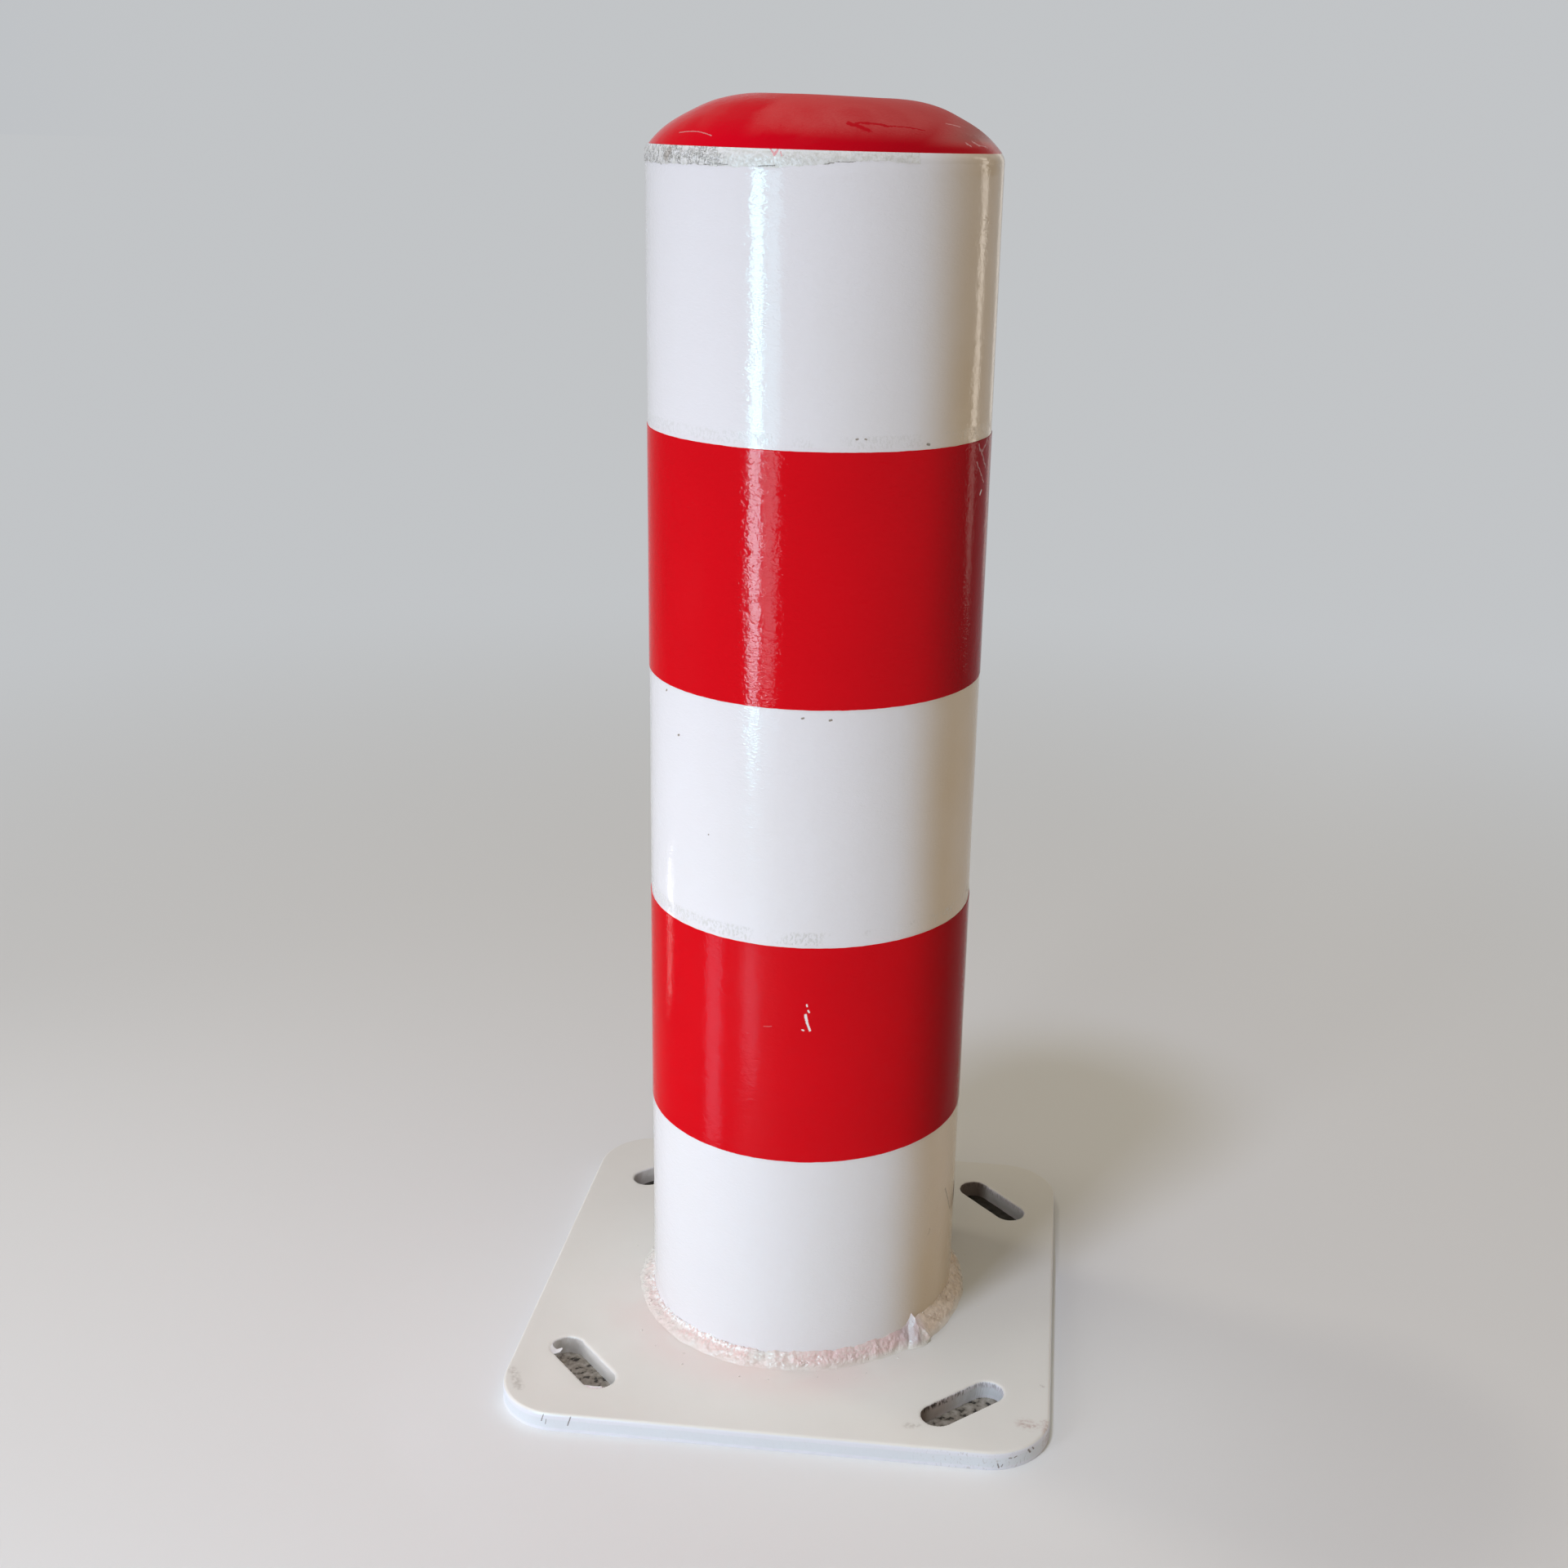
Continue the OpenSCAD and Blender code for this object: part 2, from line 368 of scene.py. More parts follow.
def red_paint(sizes, look):
    """Gloss red with orange peel, one clean scratch, fine scratches and scuffs, and painted shade on its
    right side.
    """
    paint = Paint("gloss red paint", look.red)
    paint.lay(paint.patches(70, 3.0, (0.35, 0.75, 0.0, 0.35)), darker(look.red, 0.88))
    # Painted shade: the red is darker on the tube's right side.
    paint.lay(paint.span(paint.around(), -52, -18, 35, 70), darker(look.red, 0.48))

    clean = paint.marks(sizes, (
        ((-83.9, 210.6), (-83.3, 206.4), 1.3, 0.5), ((-83.3, 206.4), (-82.3, 202.4), 1.1, 0.4),
        ((-83.5, 216.1), (-83.4, 215.3), 0.8, 0.2), ((-83.0, 213.0), (-82.7, 212.2), 0.9, 0.2),
        ((-84.9, 202.6), (-84.4, 202.3), 0.8, 0.2), ((-16.6, 458.2), (-15.4, 459.8), 1.0, 0.4)))
    hairs = paint.marks(sizes, (
        ((-98.2, 202.8), (-95.4, 203.3), 0.3, 0.4), ((-19.9, 482.0), (-12.0, 470.0), 0.9, 1.6),
        ((-17.0, 478.0), (-11.0, 482.5), 0.8, 1.4), ((-21.0, 474.0), (-13.0, 463.0), 0.6, 1.2)))
    worn = paint.highest(clean, paint.times(hairs, 0.28))
    paint.lay(worn, look.chip)
    facing = paint.node("ShaderNodeLayerWeight", {"Blend": 0.5}).outputs["Facing"]
    paint.put(paint.shader.inputs["Specular IOR Level"], paint.ramp(facing, 0.10, 0.60, 0.12, 0.015))
    glaze = paint.patches(30, 3.0, (0.3, 0.8, 0.04, 0.09), seed=6.0)
    paint.bump(*orange_peel(paint, look), (paint.inverse(worn), 0.15))
    return paint.finish(paint.math("ADD", glaze, paint.times(worn, 0.5)))


def cap_paint(sizes, look):
    """Duller red with a dusty bloom that has been wiped through in places, and painted shade towards the
    right.
    """
    paint = Paint("dusty red paint", look.cap_red, 0.06)
    paint.shader.inputs["Sheen Roughness"].default_value = 0.35
    paint.shader.inputs["Sheen Tint"].default_value = (1.0, 0.72, 0.62, 1.0)
    x, _, z = paint.millimetres()
    rim = sizes.rim_height / MM
    paint.put(paint.shader.inputs["Sheen Weight"], paint.ramp(x, -35, 10, 0.01, 0.10))
    wiped = paint.flat_marks((
        ((-27, -46), (-38, -72), 20, 4), ((-52, -42), (-54, -60), 8, 3), ((-44, -75), (10, -82), 9, 3),
        ((18, -66), (26, -67.5), 2.6, 1.5), ((21, -64.5), (34, -60.5), 1.3, 1.2),
        ((34, -60.5), (49, -52), 0.9, 1.2)), soft=0.4)
    dusty = paint.times(
        paint.ramp(z, rim + 3, rim + 12), paint.ramp(x, -46, -6, 0.22, 1.0),
        paint.patches(34, 3.0, (0.25, 0.60, 0.45, 1.0), distort=1.0, seed=1.4),
        paint.patches(1.0, 3.0, (0.3, 0.8, 0.7, 1.0)),
        paint.inverse(paint.times(wiped, 0.95)))
    brown = paint.times(paint.ramp(x, 46, 72), paint.ramp(z, rim + 1.5, rim + 6.5))
    bloom_tone = paint.mix(brown, look.dust, (0.27, 0.145, 0.125))
    # Painted shade: the cap's red is darker towards the right.
    paint.lay(paint.ramp(x, -60, 65), darker(look.cap_red, 0.58))
    paint.lay(paint.highest(paint.times(dusty, 0.26), paint.times(brown, 0.6)), bloom_tone)

    hairs = paint.flat_marks((
        ((-58.5, -49), (-49, -57.5), 0.4, 0.3), ((-49, -57.5), (-41.5, -65), 0.35, 0.3),
        ((57, -34), (63, -27), 0.7, 0.6), ((69.0, -33.5), (71.5, -31), 0.8, 0.8),
        ((66.5, -39.5), (68.5, -38), 0.7, 0.8), ((71.5, -31), (75, -24), 0.5, 0.8)))
    paint.lay(hairs, look.overspray, 0.55)
    paint.bump(*orange_peel(paint, look), (paint.mottle(0.8, seed=9.0), 0.03), (hairs, 0.1))
    return paint.finish(paint.ramp(dusty, 0.0, 1.0, 0.18, 0.5))


def seam_paint(sizes):
    """White over a coarse strip: curled flakes and fine dark lines where the tape pulled it up, and painted
    shadow lines along its lower edge.
    """
    paint = Paint("torn white paint", (0.80, 0.80, 0.81))
    skin, rim = paint.skin(sizes), sizes.rim_height / MM

    def curls(size, seed, level):
        field = paint.mottle(size, at=skin, seed=seed, distort=1.2)
        away = paint.math("ABSOLUTE", paint.math("SUBTRACT", field, level))
        return paint.ramp(away, 0.008, 0.024, 1.0, 0.0)

    dark = paint.times(
        paint.highest(curls(2.6, 3.0, 0.47), curls(1.9, 9.0, 0.55)),
        paint.patches(5, 2.0, (0.38, 0.50), at=skin, seed=4.0),
        paint.ramp(paint.around(), -112, -121, 0.1, 1.0))
    grey = paint.patches(2.0, 4.0, (0.40, 0.62, 0.10, 0.75), at=skin, seed=7.0)
    below = paint.ramp(paint.millimetres()[2], rim - 0.6, rim - 1.2)
    paint.lay(paint.times(grey, below), (0.63, 0.62, 0.59))
    paint.lay(dark, (0.17, 0.15, 0.13), 0.7)
    paint.lay(paint.marks(sizes, (((-140.4, 605.2), (-138.8, 607.6), 4.2, 1.0), )), (0.36, 0.30, 0.25), 0.55)
    # Painted shadow: thin dark lines under the strip's lifted lower edge.
    lower_edge_shadow = paint.marks(sizes, (
        ((-84.0, 604.3), (-79.0, 605.6), 0.35, 0.6), ((-79.0, 605.6), (-66.0, 605.9), 0.28, 0.7),
        ((-118.0, 603.2), (-113.0, 603.0), 0.18, 0.6), ((-103.0, 603.0), (-98.0, 603.4), 0.35, 0.5)))
    paint.lay(lower_edge_shadow, (0.22, 0.20, 0.19), 0.8)
    chip = paint.marks(sizes, (
        ((-99.6, 610.4), (-98.2, 607.6), 0.8, 0.9), ((-97.4, 610.2), (-98.0, 608.0), 1.0, 0.9),
        ((-96.4, 609.0), (-96.0, 607.4), 0.5, 0.6)))
    paint.lay(chip, (0.80, 0.22, 0.26), 0.7)
    paint.bump((paint.inverse(dark), 0.4), (paint.mottle(0.8, 3.0), 0.3), (paint.inverse(lower_edge_shadow), 0.2))
    return paint.finish(paint.ramp(grey, 0.0, 0.5, 0.22, 0.5))


def overspray(paint, sizes):
    """Soft pink haze on the plate and the bead in front of the tube."""
    x, y, _ = paint.millimetres()
    post = sizes.post_radius / MM
    front = paint.ramp(paint.math("ADD", paint.times(x, 0.35), y), -20, -100)
    speckle = paint.patches(26, 4.0, (0.25, 0.65, 0.4, 1.0), seed=3.2)
    return paint.times(paint.ramp(paint.reach(x, y), post + 44, post + 2), front, speckle, 0.34)


def bead_paint(sizes, look):
    """Thick paint over the foot bead, pink with overspray on the side that faced the red, with painted shade
    in its crevices, on the horn and beyond the stop, and painted highlights on crumbs at the tube's toe.
    """
    paint = Paint("painted weld", (0.71, 0.67, 0.64))
    x, y, z = paint.millimetres()
    post, thick = sizes.post_radius / MM, sizes.plate_thickness / MM
    gap = paint.times(paint.math("SUBTRACT", paint.angle(), sizes.bead_stop), post)
    front = paint.ramp(paint.math("ADD", y, paint.times(x, 0.4)), 30, -60, 0.2, 1.0)
    fine = paint.patches(1.6, 3.0, (0.32, 0.68, 0.4, 1.0), seed=1.0)
    pink = paint.times(paint.patches(17, 4.0, (0.36, 0.60, 0.1, 1.0), seed=2.5), front, fine)
    paint.lay(pink, look.overspray, 0.62)
    rosy = paint.span(gap, -75, -35, -9, -4)
    paint.lay(paint.times(rosy, fine), (0.71, 0.53, 0.53))
    # Painted shade: dark patches in the rippled bead's crevices.
    crevice_shade = paint.patches(2.0, 4.0, (0.60, 0.74, 0.0, 0.3), seed=11.0)
    paint.lay(paint.times(crevice_shade, paint.ramp(gap, -100, -50, 0.3, 1.0)), (0.42, 0.30, 0.27))
    # Painted shade: a dark mauve on the horn's left face.
    horn_shade = paint.span(gap, -16, -5, -1.0, 0.5)
    paint.lay(horn_shade, (0.47, 0.37, 0.39), 0.7)
    # Painted warm shade: the bead beyond its stop is brown and darker, in blotches.
    brown = paint.span(gap, 1.5, 9, 90, 150)
    shade_blotches = paint.patches(4.5, 4.0, (0.38, 0.62, 0.62, 1.0), distort=1.0, seed=21.0)
    paint.lay(brown, (0.80, 0.66, 0.53), 0.85)
    paint.lay(paint.times(brown, paint.inverse(shade_blotches)), (0.36, 0.25, 0.17))
    # Near-white flecks at the tube's toe: white crumbs, brightened as painted highlights.
    crumb_highlights = paint.times(
        paint.patches(1.6, 2.0, (0.44, 0.54), seed=14.0), paint.ramp(gap, -85, -105),
        paint.ramp(paint.reach(x, y), post + 3.5, post + 1.2))
    paint.lay(crumb_highlights, (0.88, 0.88, 0.89))

    base = paint.mix(overspray(paint, sizes), darker(look.plate, 0.95), look.overspray)
    # Painted warm shade also tints the toe's base colour on that side.
    base = paint.mix(paint.times(brown, 0.4), base, (0.70, 0.57, 0.45))
    foot = paint.math("ADD", z, paint.times(paint.mottle(4, 3.0), 3))
    paint.lay(paint.ramp(foot, thick + 6.0, thick + 1.8), base)
    paint.bump((paint.mottle(0.8, 3.0), 0.25))
    return paint.finish(paint.patches(5, 2.0, (0.3, 0.7, 0.2, 0.45)))


def plate_paint(sizes, look):
    """Brushed off-white on the flat, thicker and whiter on the edges, rubbed and stained at the corners."""
    paint = Paint("off-white plate paint", look.plate)
    x, y, z = paint.millimetres()
    upward = paint.apart(paint.node("ShaderNodeNewGeometry").outputs["Normal"])[2]
    side = paint.ramp(upward, 0.75, 0.25)
    cloud = paint.patches(70, 4.0, (0.3, 0.75, 0.0, 0.5), stretch=(1, 0.7, 1))
    paint.lay(cloud, darker(look.plate, 0.92))
    paint.lay(overspray(paint, sizes), look.overspray)
    paint.lay(side, look.fresh)

    stains = paint.flat_marks((
        ((126.5, -114), (131, -116), 6, 1.5), ((137.5, -112), (139, -126), 3.5, 1.5)), 0.9)
    rubs = paint.flat_marks((
        ((-136.5, -107), (-129, -121), 4, 1.5), ((69, -124), (74, -123.5), 3.5, 1.0),
        ((135, -82.5), (136, -83.2), 1.6, 0.5)), 0.9)
    broken = paint.patches(1.8, 4.0, (0.35, 0.65, 0.1, 1.0), seed=6.5)
    paint.lay(paint.times(rubs, broken), look.grime, 0.40)
    paint.lay(paint.times(stains, broken), (0.42, 0.28, 0.25), 0.60)
    creep = paint.math("ADD", z, paint.times(paint.mottle(16, 3.0, seed=3.3), 1.6))
    thick_rim = paint.highest(paint.ramp(creep, 7.2, 8.0), paint.ramp(creep, 3.0, 2.3))
    paint.lay(paint.times(thick_rim, side), (0.78, 0.775, 0.86), 0.6)

    across, _, height = paint.apart(paint.place)
    runs = (
        ((-111.6, 9.2), (-112.8, 5.2), 0.5), ((-97.6, 9.6), (-99.4, 4.0), 0.6),
        ((-110.2, 6.6), (-110.8, 3.6), 0.35), ((115.0, 3.6), (115.6, 1.4), 0.7),
        ((117.4, 3.2), (117.0, 1.8), 0.5), ((120.4, 6.2), (121.6, 6.0), 0.6),
        ((123.0, 6.0), (124.0, 6.3), 0.6), ((129.6, 7.6), (130.6, 5.6), 0.8),
        ((131.6, 7.8), (132.2, 6.4), 0.6))
    runs = paint.flat_marks([(*run, 0.3) for run in runs], 0.5, paint.together(across, height))
    paint.lay(paint.times(runs, side, paint.ramp(y, -124, -128)), (0.16, 0.13, 0.12), 0.85)
    notches = paint.times(
        paint.patches(0.9, 3.0, (0.58, 0.68, 0.0, 0.32), stretch=(1, 1, 0.4), seed=4.1), side,
        paint.ramp(x, 60, 105, 0.10, 1.0), paint.ramp(y, -130, -134))
    paint.lay(notches, look.grime)
    slot_tones(paint, sizes, side)

    brushed = paint.mottle(2.5, stretch=(0.25, 1, 1))
    paint.bump((paint.mottle(14), 0.12), (brushed, 0.03), (paint.mottle(0.7), 0.02))
    return paint.finish(paint.patches(22, 3.0, (0.3, 0.7, 0.30, 0.55), seed=5.5))


def slot_tones(paint, sizes, side):
    """Clean slot walls on the left. On the right they are rosy and charred on top. Each wall has painted
    shade at one end, deeper on the right.
    """
    half_pitch, thick = sizes.slot_pitch / 2 / MM, sizes.plate_thickness / MM
    turned_back = paint.node("ShaderNodeMapping", {
        "Vector": paint.place, "Rotation": (0.0, 0.0, sizes.pattern_turn)}, vector_type="TEXTURE").outputs[0]
    right, back, up = paint.millimetres(turned_back)
    beside, along = (
        paint.math("SUBTRACT", part, paint.times(paint.math("SIGN", part), half_pitch))
        for part in (right, back))
    in_slot = paint.times(side, paint.ramp(paint.reach(beside, along), 32, 30))
    slant = paint.math("SIGN", paint.times(right, back))
    endways = paint.math("SUBTRACT", beside, paint.times(along, slant))
    to_right, near = paint.ramp(right, -10, 10), paint.ramp(back, 10, -10)
    paint.lay(paint.times(in_slot, paint.inverse(to_right)), (0.88, 0.87, 0.85), 0.8)
    rosy = paint.times(paint.ramp(endways, 16, -12), to_right, in_slot, near)
    paint.lay(rosy, (0.50, 0.42, 0.40), 0.75)
    # Painted shade: a dark brown at the left end of each slot wall.
    shaded = paint.times(paint.ramp(endways, -15, -30), in_slot, paint.ramp(to_right, 0.0, 1.0, 0.35, 1.0))
    paint.lay(shaded, (0.15, 0.105, 0.08), 0.9)
    teeth = paint.patches(0.9, 2.0, (0.47, 0.56), stretch=(1, 1, 0.22), seed=12.0)
    charred = paint.times(
        teeth, paint.ramp(up, thick - 4.6, thick - 2.6), paint.ramp(endways, 40, -20, 0.3, 1.0),
        to_right, in_slot, paint.ramp(near, 0.0, 1.0, 0.35, 1.0))
    paint.lay(charred, (0.07, 0.055, 0.05))


def flake_paint():
    """The same white where it was lifted off the steel, a little rosy underneath."""
    paint = Paint("lifted white paint", (0.78, 0.78, 0.80), 0.35)
    x = paint.millimetres()[0]
    paint.lay(paint.times(paint.ramp(x, -110, -100), paint.patches(2, 3.0, (0.35, 0.65))), (0.74, 0.60, 0.63))
    paint.bump((paint.mottle(1.2, 3.0, seed=2.0), 0.15))
    return paint.finish(paint.patches(1.5, 2.0, (0.3, 0.7, 0.25, 0.45)))


# Mesh building

def rough(point, size, seed=0.0):
    """Smooth noise from about -1 to 1 whose bumps are size mm across."""
    return noise.noise(Vector(point) / (size * MM) + Vector((seed, -seed, 2 * seed)))


def smooth_step(value, low, high):
    part = min(1.0, max(0.0, (value - low) / (high - low)))
    return part * part * (3 - 2 * part)


def from_stop(a, stop):
    """Signed angle of a from the bead's stop, the short way round."""
    return (a - stop + math.pi) % TURN - math.pi


def on_ring(a, r, z):
    """The place at an angle about the axis, a radius and a height."""
    return r * math.cos(a), r * math.sin(a), z


def ring_faces(rings, across, wrap_rings, wrap_across):
    """Quads between neighbouring points of a grid of rings."""
    faces = []
    for i in range(rings if wrap_rings else rings - 1):
        here, over = i * across, (i + 1) % rings * across
        for k in range(across if wrap_across else across - 1):
            after = (k + 1) % across
            faces.append((here + k, over + k, over + after, here + after))
    return faces


def add_piece(name, points, faces, material, node=None, sharp=40):
    """Makes a mesh piece, shades it, and seats it in the frame."""
    mesh = bpy.data.meshes.new(name)
    mesh.from_pydata(points, [], faces)
    work = bmesh.new()
    work.from_mesh(mesh)
    bmesh.ops.remove_doubles(work, verts=work.verts, dist=1e-6)
    bmesh.ops.recalc_face_normals(work, faces=work.faces)
    work.to_mesh(mesh)
    work.free()
    mesh.shade_smooth()
    mesh.set_sharp_from_angle(angle=math.radians(sharp))
    piece = bpy.data.objects.new(name, mesh)
    bpy.context.scene.collection.objects.link(piece)
    mesh.materials.append(material)
    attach(piece, "root")
    if node:
        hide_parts(node)
    return piece


def turned(section, steps, closed, shape=None):
    """Turns a section of (radius, height) points about Z. shape may move a point of the surface."""
    points = []
    for i in range(steps):
        a = TURN * i / steps
        for r, z in section:
            if shape:
                r, z = shape(a, r, z)
            points.append(on_ring(a, r, z))
    return points, ring_faces(steps, len(section), True, closed)


def arc(centre, radius, start, end, steps):
    """Points of (radius, height) along an arc, from one angle to another."""
    return [
        (centre[0] + radius * math.cos(start + (end - start) * i / steps),
         centre[1] + radius * math.sin(start + (end - start) * i / steps))
        for i in range(steps + 1)]


def between(start, end, steps):
    """Points along a straight line, the last one left out."""
    return [
        (start[0] + (end[0] - start[0]) * i / steps, start[1] + (end[1] - start[1]) * i / steps)
        for i in range(steps)]


def cap_form(sizes):
    """Knuckle radius, flat radius, rim radius and shoulder drop of the cap and its seam."""
    slope = sizes.cap_edge_angle
    knuckle = sizes.cap_rise / (1 - math.cos(slope))
    rim = sizes.post_radius - sizes.seam_round * (1 - math.sin(slope))
    return knuckle, rim - knuckle * math.sin(slope), rim, sizes.seam_round * math.cos(slope)


def out_of_round(a, r, z):
    """How far the tube's surface lies from a true cylinder, as pipe does."""
    return 0.06 * MM * rough(on_ring(a, r, z), 38) - 0.05 * MM


def build_tube(sizes, material):
    """The tube, slightly out of round, open inside and bevelled at the rim."""
    drop = cap_form(sizes)[3]
    outer, inner = sizes.post_radius, sizes.post_radius - sizes.post_wall
    foot, rim = sizes.plate_thickness, sizes.rim_height
    section = between((outer, foot), (outer, rim - drop), 110)
    section += [(outer, rim - drop), (outer - sizes.seam_depth, rim), (inner, rim)]
    section += between((inner, rim), (inner, foot), 4)[1:] + [(inner, foot)]

    def shape(a, r, z):
        if r < outer:
            return r, z
        return r + smooth_step(rim - z, drop, 12 * MM) * out_of_round(a, outer, z), z

    points, faces = turned(section, 300, True, shape)
    return add_piece("post_tube_skin", points, faces, material, "post_tube")


def build_band(name, node, sizes, material, low, high, seed):
    """A masked red coat: a thin sleeve whose edges crept a little under the tape."""
    inner, outer = sizes.post_radius - BURIED, sizes.post_radius + sizes.coat
    edge = 0.2 * MM
    section = [(inner, low), (outer - edge, low), (outer, low + edge)]
    section += between((outer, low + edge), (outer, high - edge), 32)[1:]
    section += [(outer, high - edge), (outer - edge, high), (inner, high)]

    def shape(a, r, z):
        spot = (math.cos(a), math.sin(a), z)
        at_edge = max(smooth_step(z, high - 2 * MM, high), smooth_step(-z, -low - 2 * MM, -low))
        creep = 0.12 * MM * rough(spot, 50, seed) + 0.08 * MM * rough(spot, 12, seed)
        inward = -1 if z > (low + high) / 2 else 1
        wave = out_of_round(a, outer, z) if r > inner else 0.0
        return r + wave, z + at_edge * (creep + 0.15 * MM * inward)

    points, faces = turned(section, 360, True, shape)
    return add_piece(name, points, faces, material, node)


def build_cap(sizes, material):
    """The pressed dish, with its crown a little dented."""
    knuckle, flat, rim, _ = cap_form(sizes)
    top = sizes.rim_height + sizes.cap_rise
    centre = (flat, top - knuckle)
    upright = math.pi / 2
    low = upright - sizes.cap_edge_angle
    inner = knuckle - sizes.cap_wall
    inner_low = math.asin((sizes.rim_height - centre[1]) / inner)
    section = between((0.0, top), (flat, top), 14) + arc(centre, knuckle, upright, low, 44)
    section += arc(centre, inner, inner_low, upright, 16) + [(0.0, top - sizes.cap_wall)]

    def shape(a, r, z):
        spot = on_ring(a, r, z)
        away = smooth_step(rim - r, 0.0, 22 * MM)
        sag = 2.1 + 0.6 * smooth_step(spot[0], -12 * MM, 25 * MM) * smooth_step(-r, -62 * MM, -30 * MM)
        return r, z - away * MM * (sag + 0.3 * rough(spot, 42, 2.0) + 0.1 * rough(spot, 13))

    points, faces = turned(section, 288, False, shape)
    return add_piece("domed_cap_skin", points, faces, material, "domed_cap")


def shoulder(sizes, below):
    """Path down the ground seam from the cap's edge and on down the tube."""
    drop = cap_form(sizes)[3]
    centre = (sizes.post_radius - sizes.seam_round, sizes.rim_height - drop)
    start = math.pi / 2 - sizes.cap_edge_angle
    path = arc(centre, sizes.seam_round, start, 0.0, 14)
    return path + between(path[-1], (path[-1][0], sizes.rim_height - below), 14)[1:]


def build_seam(sizes, material):
    """The ground seam, smooth under its paint."""
    drop = cap_form(sizes)[3]
    section = shoulder(sizes, drop + 0.1 * MM)[:15]
    section.append((sizes.post_radius - sizes.seam_depth, sizes.rim_height))
    points, faces = turned(section, 288, True)
    return add_piece("cap_seam_skin", points, faces, material, "cap_weld")


def build_strip(sizes, material):
    """Torn paint along the seam: thick, flaky and ragged, ending in a step at the right."""
    path = shoulder(sizes, sizes.strip_width + 3 * MM)
    steps = 560
    lengths = [0.0]
    for first, second in zip(path, path[1:]):
        lengths.append(lengths[-1] + math.dist(first, second))
    points = []
    for i in range(steps + 1):
        a = sizes.strip_start + (sizes.strip_end - sizes.strip_start) * i / steps
        from_end = (sizes.strip_end - a) * sizes.post_radius
        from_start = (a - sizes.strip_start) * sizes.post_radius
        narrow = 0.45 * smooth_step(from_end, 75 * MM, 20 * MM)
        outer, inner = [], []
        coarse = smooth_step(from_end, 40 * MM, 110 * MM)
        for (r, z), down in zip(path, lengths):
            spot = on_ring(a, r, z)
            ragged = 0.6 * MM * rough(spot, 7, 5.0) + 0.4 * MM * rough(spot, 2, 6.0)
            inside = sizes.strip_width * (1 - narrow) + ragged - down
            cover = smooth_step(inside, -0.1 * MM, 0.25 * MM)
            cover *= smooth_step(from_end + 0.3 * ragged, 0.0, 0.3 * MM)
            cover *= smooth_step(from_start, 0.0, 8 * MM)
            relief = 0.45 + 0.35 * rough(spot, 1.1, 7.0) + 0.25 * rough(spot, 3.5, 8.0)
            relief = relief * (0.45 + 0.75 * coarse) + 0.35 * smooth_step(1.2 * MM - down, 0.0, 1.2 * MM)
            proud = (sizes.strip_height * min(1.2, max(0.1, relief)) + 0.1 * MM) * cover - 0.1 * MM
            outer.append(on_ring(a, r + proud, z))
            inner.append(on_ring(a, r - 0.9 * MM, z - 0.2 * MM))
        points += outer + inner[::-1]
    across = 2 * len(path)
    faces = ring_faces(steps + 1, across, False, True)
    faces += [tuple(range(across)), tuple(steps * across + k for k in range(across))[::-1]]
    return add_piece("torn_paint_strip", points, faces, material, sharp=60)


def within(value, start, full, ebb, end):
    """1 from full to ebb, going smoothly down to 0 at start and at end."""
    return smooth_step(value, start, full) * smooth_step(-value, -end, -ebb)


def hump(value, middle, wide):
    """A bell curve that is 1 at its middle."""
    return math.exp(-((value - middle) / wide) ** 2)


def bead_face(sizes, a, along):
    """A point (radius, height) of the bead's face at an angle, from the plate's toe to the tube's toe."""
    gap = from_stop(a, sizes.bead_stop) * sizes.post_radius / MM
    ring = on_ring(a, sizes.post_radius, 0.0)
    spot = (ring[0], ring[1], along * 10 * MM)
    belly = math.sin(math.pi * along ** 0.85) ** 1.4
    foot = sizes.bead_plate_leg / MM + 0.6 + 0.9 * rough(ring, 24, 1.0) + 0.8 * rough(ring, 8, 2.0)
    foot -= 2.2 * within(gap, -110, -60, -14, -4)
    climb = (sizes.bead_tube_leg + sizes.bead_heavy * math.cos(a)) / MM
    climb += 1.2 * rough(ring, 20, 3.0) + 1.1 * rough(ring, 6, 4.0) + 0.7 * rough(ring, 2.4, 5.0)
    full = belly * (0.9 + 0.6 * rough(ring, 13, 6.0) + 0.9 * rough(spot, 5, 7.0))
    grain = 0.5 * rough(spot, 2.4, 8.0) + 0.4 * rough(spot, 1.2, 9.0)
    full += min(1.0, 3 * along) * min(1.0, 4 * (1 - along)) * grain

    ripple = math.sin(TURN * (gap + 2.5 * (along - 0.5) ** 2) / 1.25 + 5 * rough(spot, 5))
    full += 0.09 * ripple * within(gap, -70, -35, -12, -4) * belly
    burr = within(gap, -175, -150, -75, -50) * hump(along, 0.92, 0.07)
    full += burr * (0.6 + 1.4 * rough(ring, 3, 10.0))

    horn = math.exp(-abs(gap + 0.2 * along) / 2.1)
    foot += 2.2 * hump(gap, 0, 6)
    climb += 6.8 * horn ** 1.3 + 1.5 * within(gap, 0, 6, 20, 60)
    crest = gap - (1 - along) * 5.5
    full += 2.4 * math.exp(-abs(crest) / 1.2) * min(1.0, 3 * belly)
    full += 1.5 * hump(gap, 3 * along - 4, 2.6) * belly
    full -= 1.3 * hump(gap, 5 * along - 8, 1.0) * belly
    lean = math.radians(45)
    return (sizes.post_radius + (foot * (1 - along) + full * math.cos(lean)) * MM,
            sizes.plate_thickness + (climb * along ** 1.3 + full * math.sin(lean)) * MM)


def add_lump(points, faces, centre, size, draw):
    """Adds one small hardened drop to a mesh's points and faces."""
    work = bmesh.new()
    bmesh.ops.create_icosphere(work, subdivisions=2, radius=1.0)
    first = len(points)
    stretch = [draw.uniform(0.6, 1.5) * size for _ in range(3)]
    seed = draw.uniform(0, 50)
    for vert in work.verts:
        bulge = 1 + 0.5 * rough(vert.co * MM, 0.9, seed)
        points.append(tuple(centre[k] + stretch[k] * bulge * vert.co[k] for k in range(3)))
    faces += [tuple(first + vert.index for vert in face.verts) for face in work.faces]
    work.free()


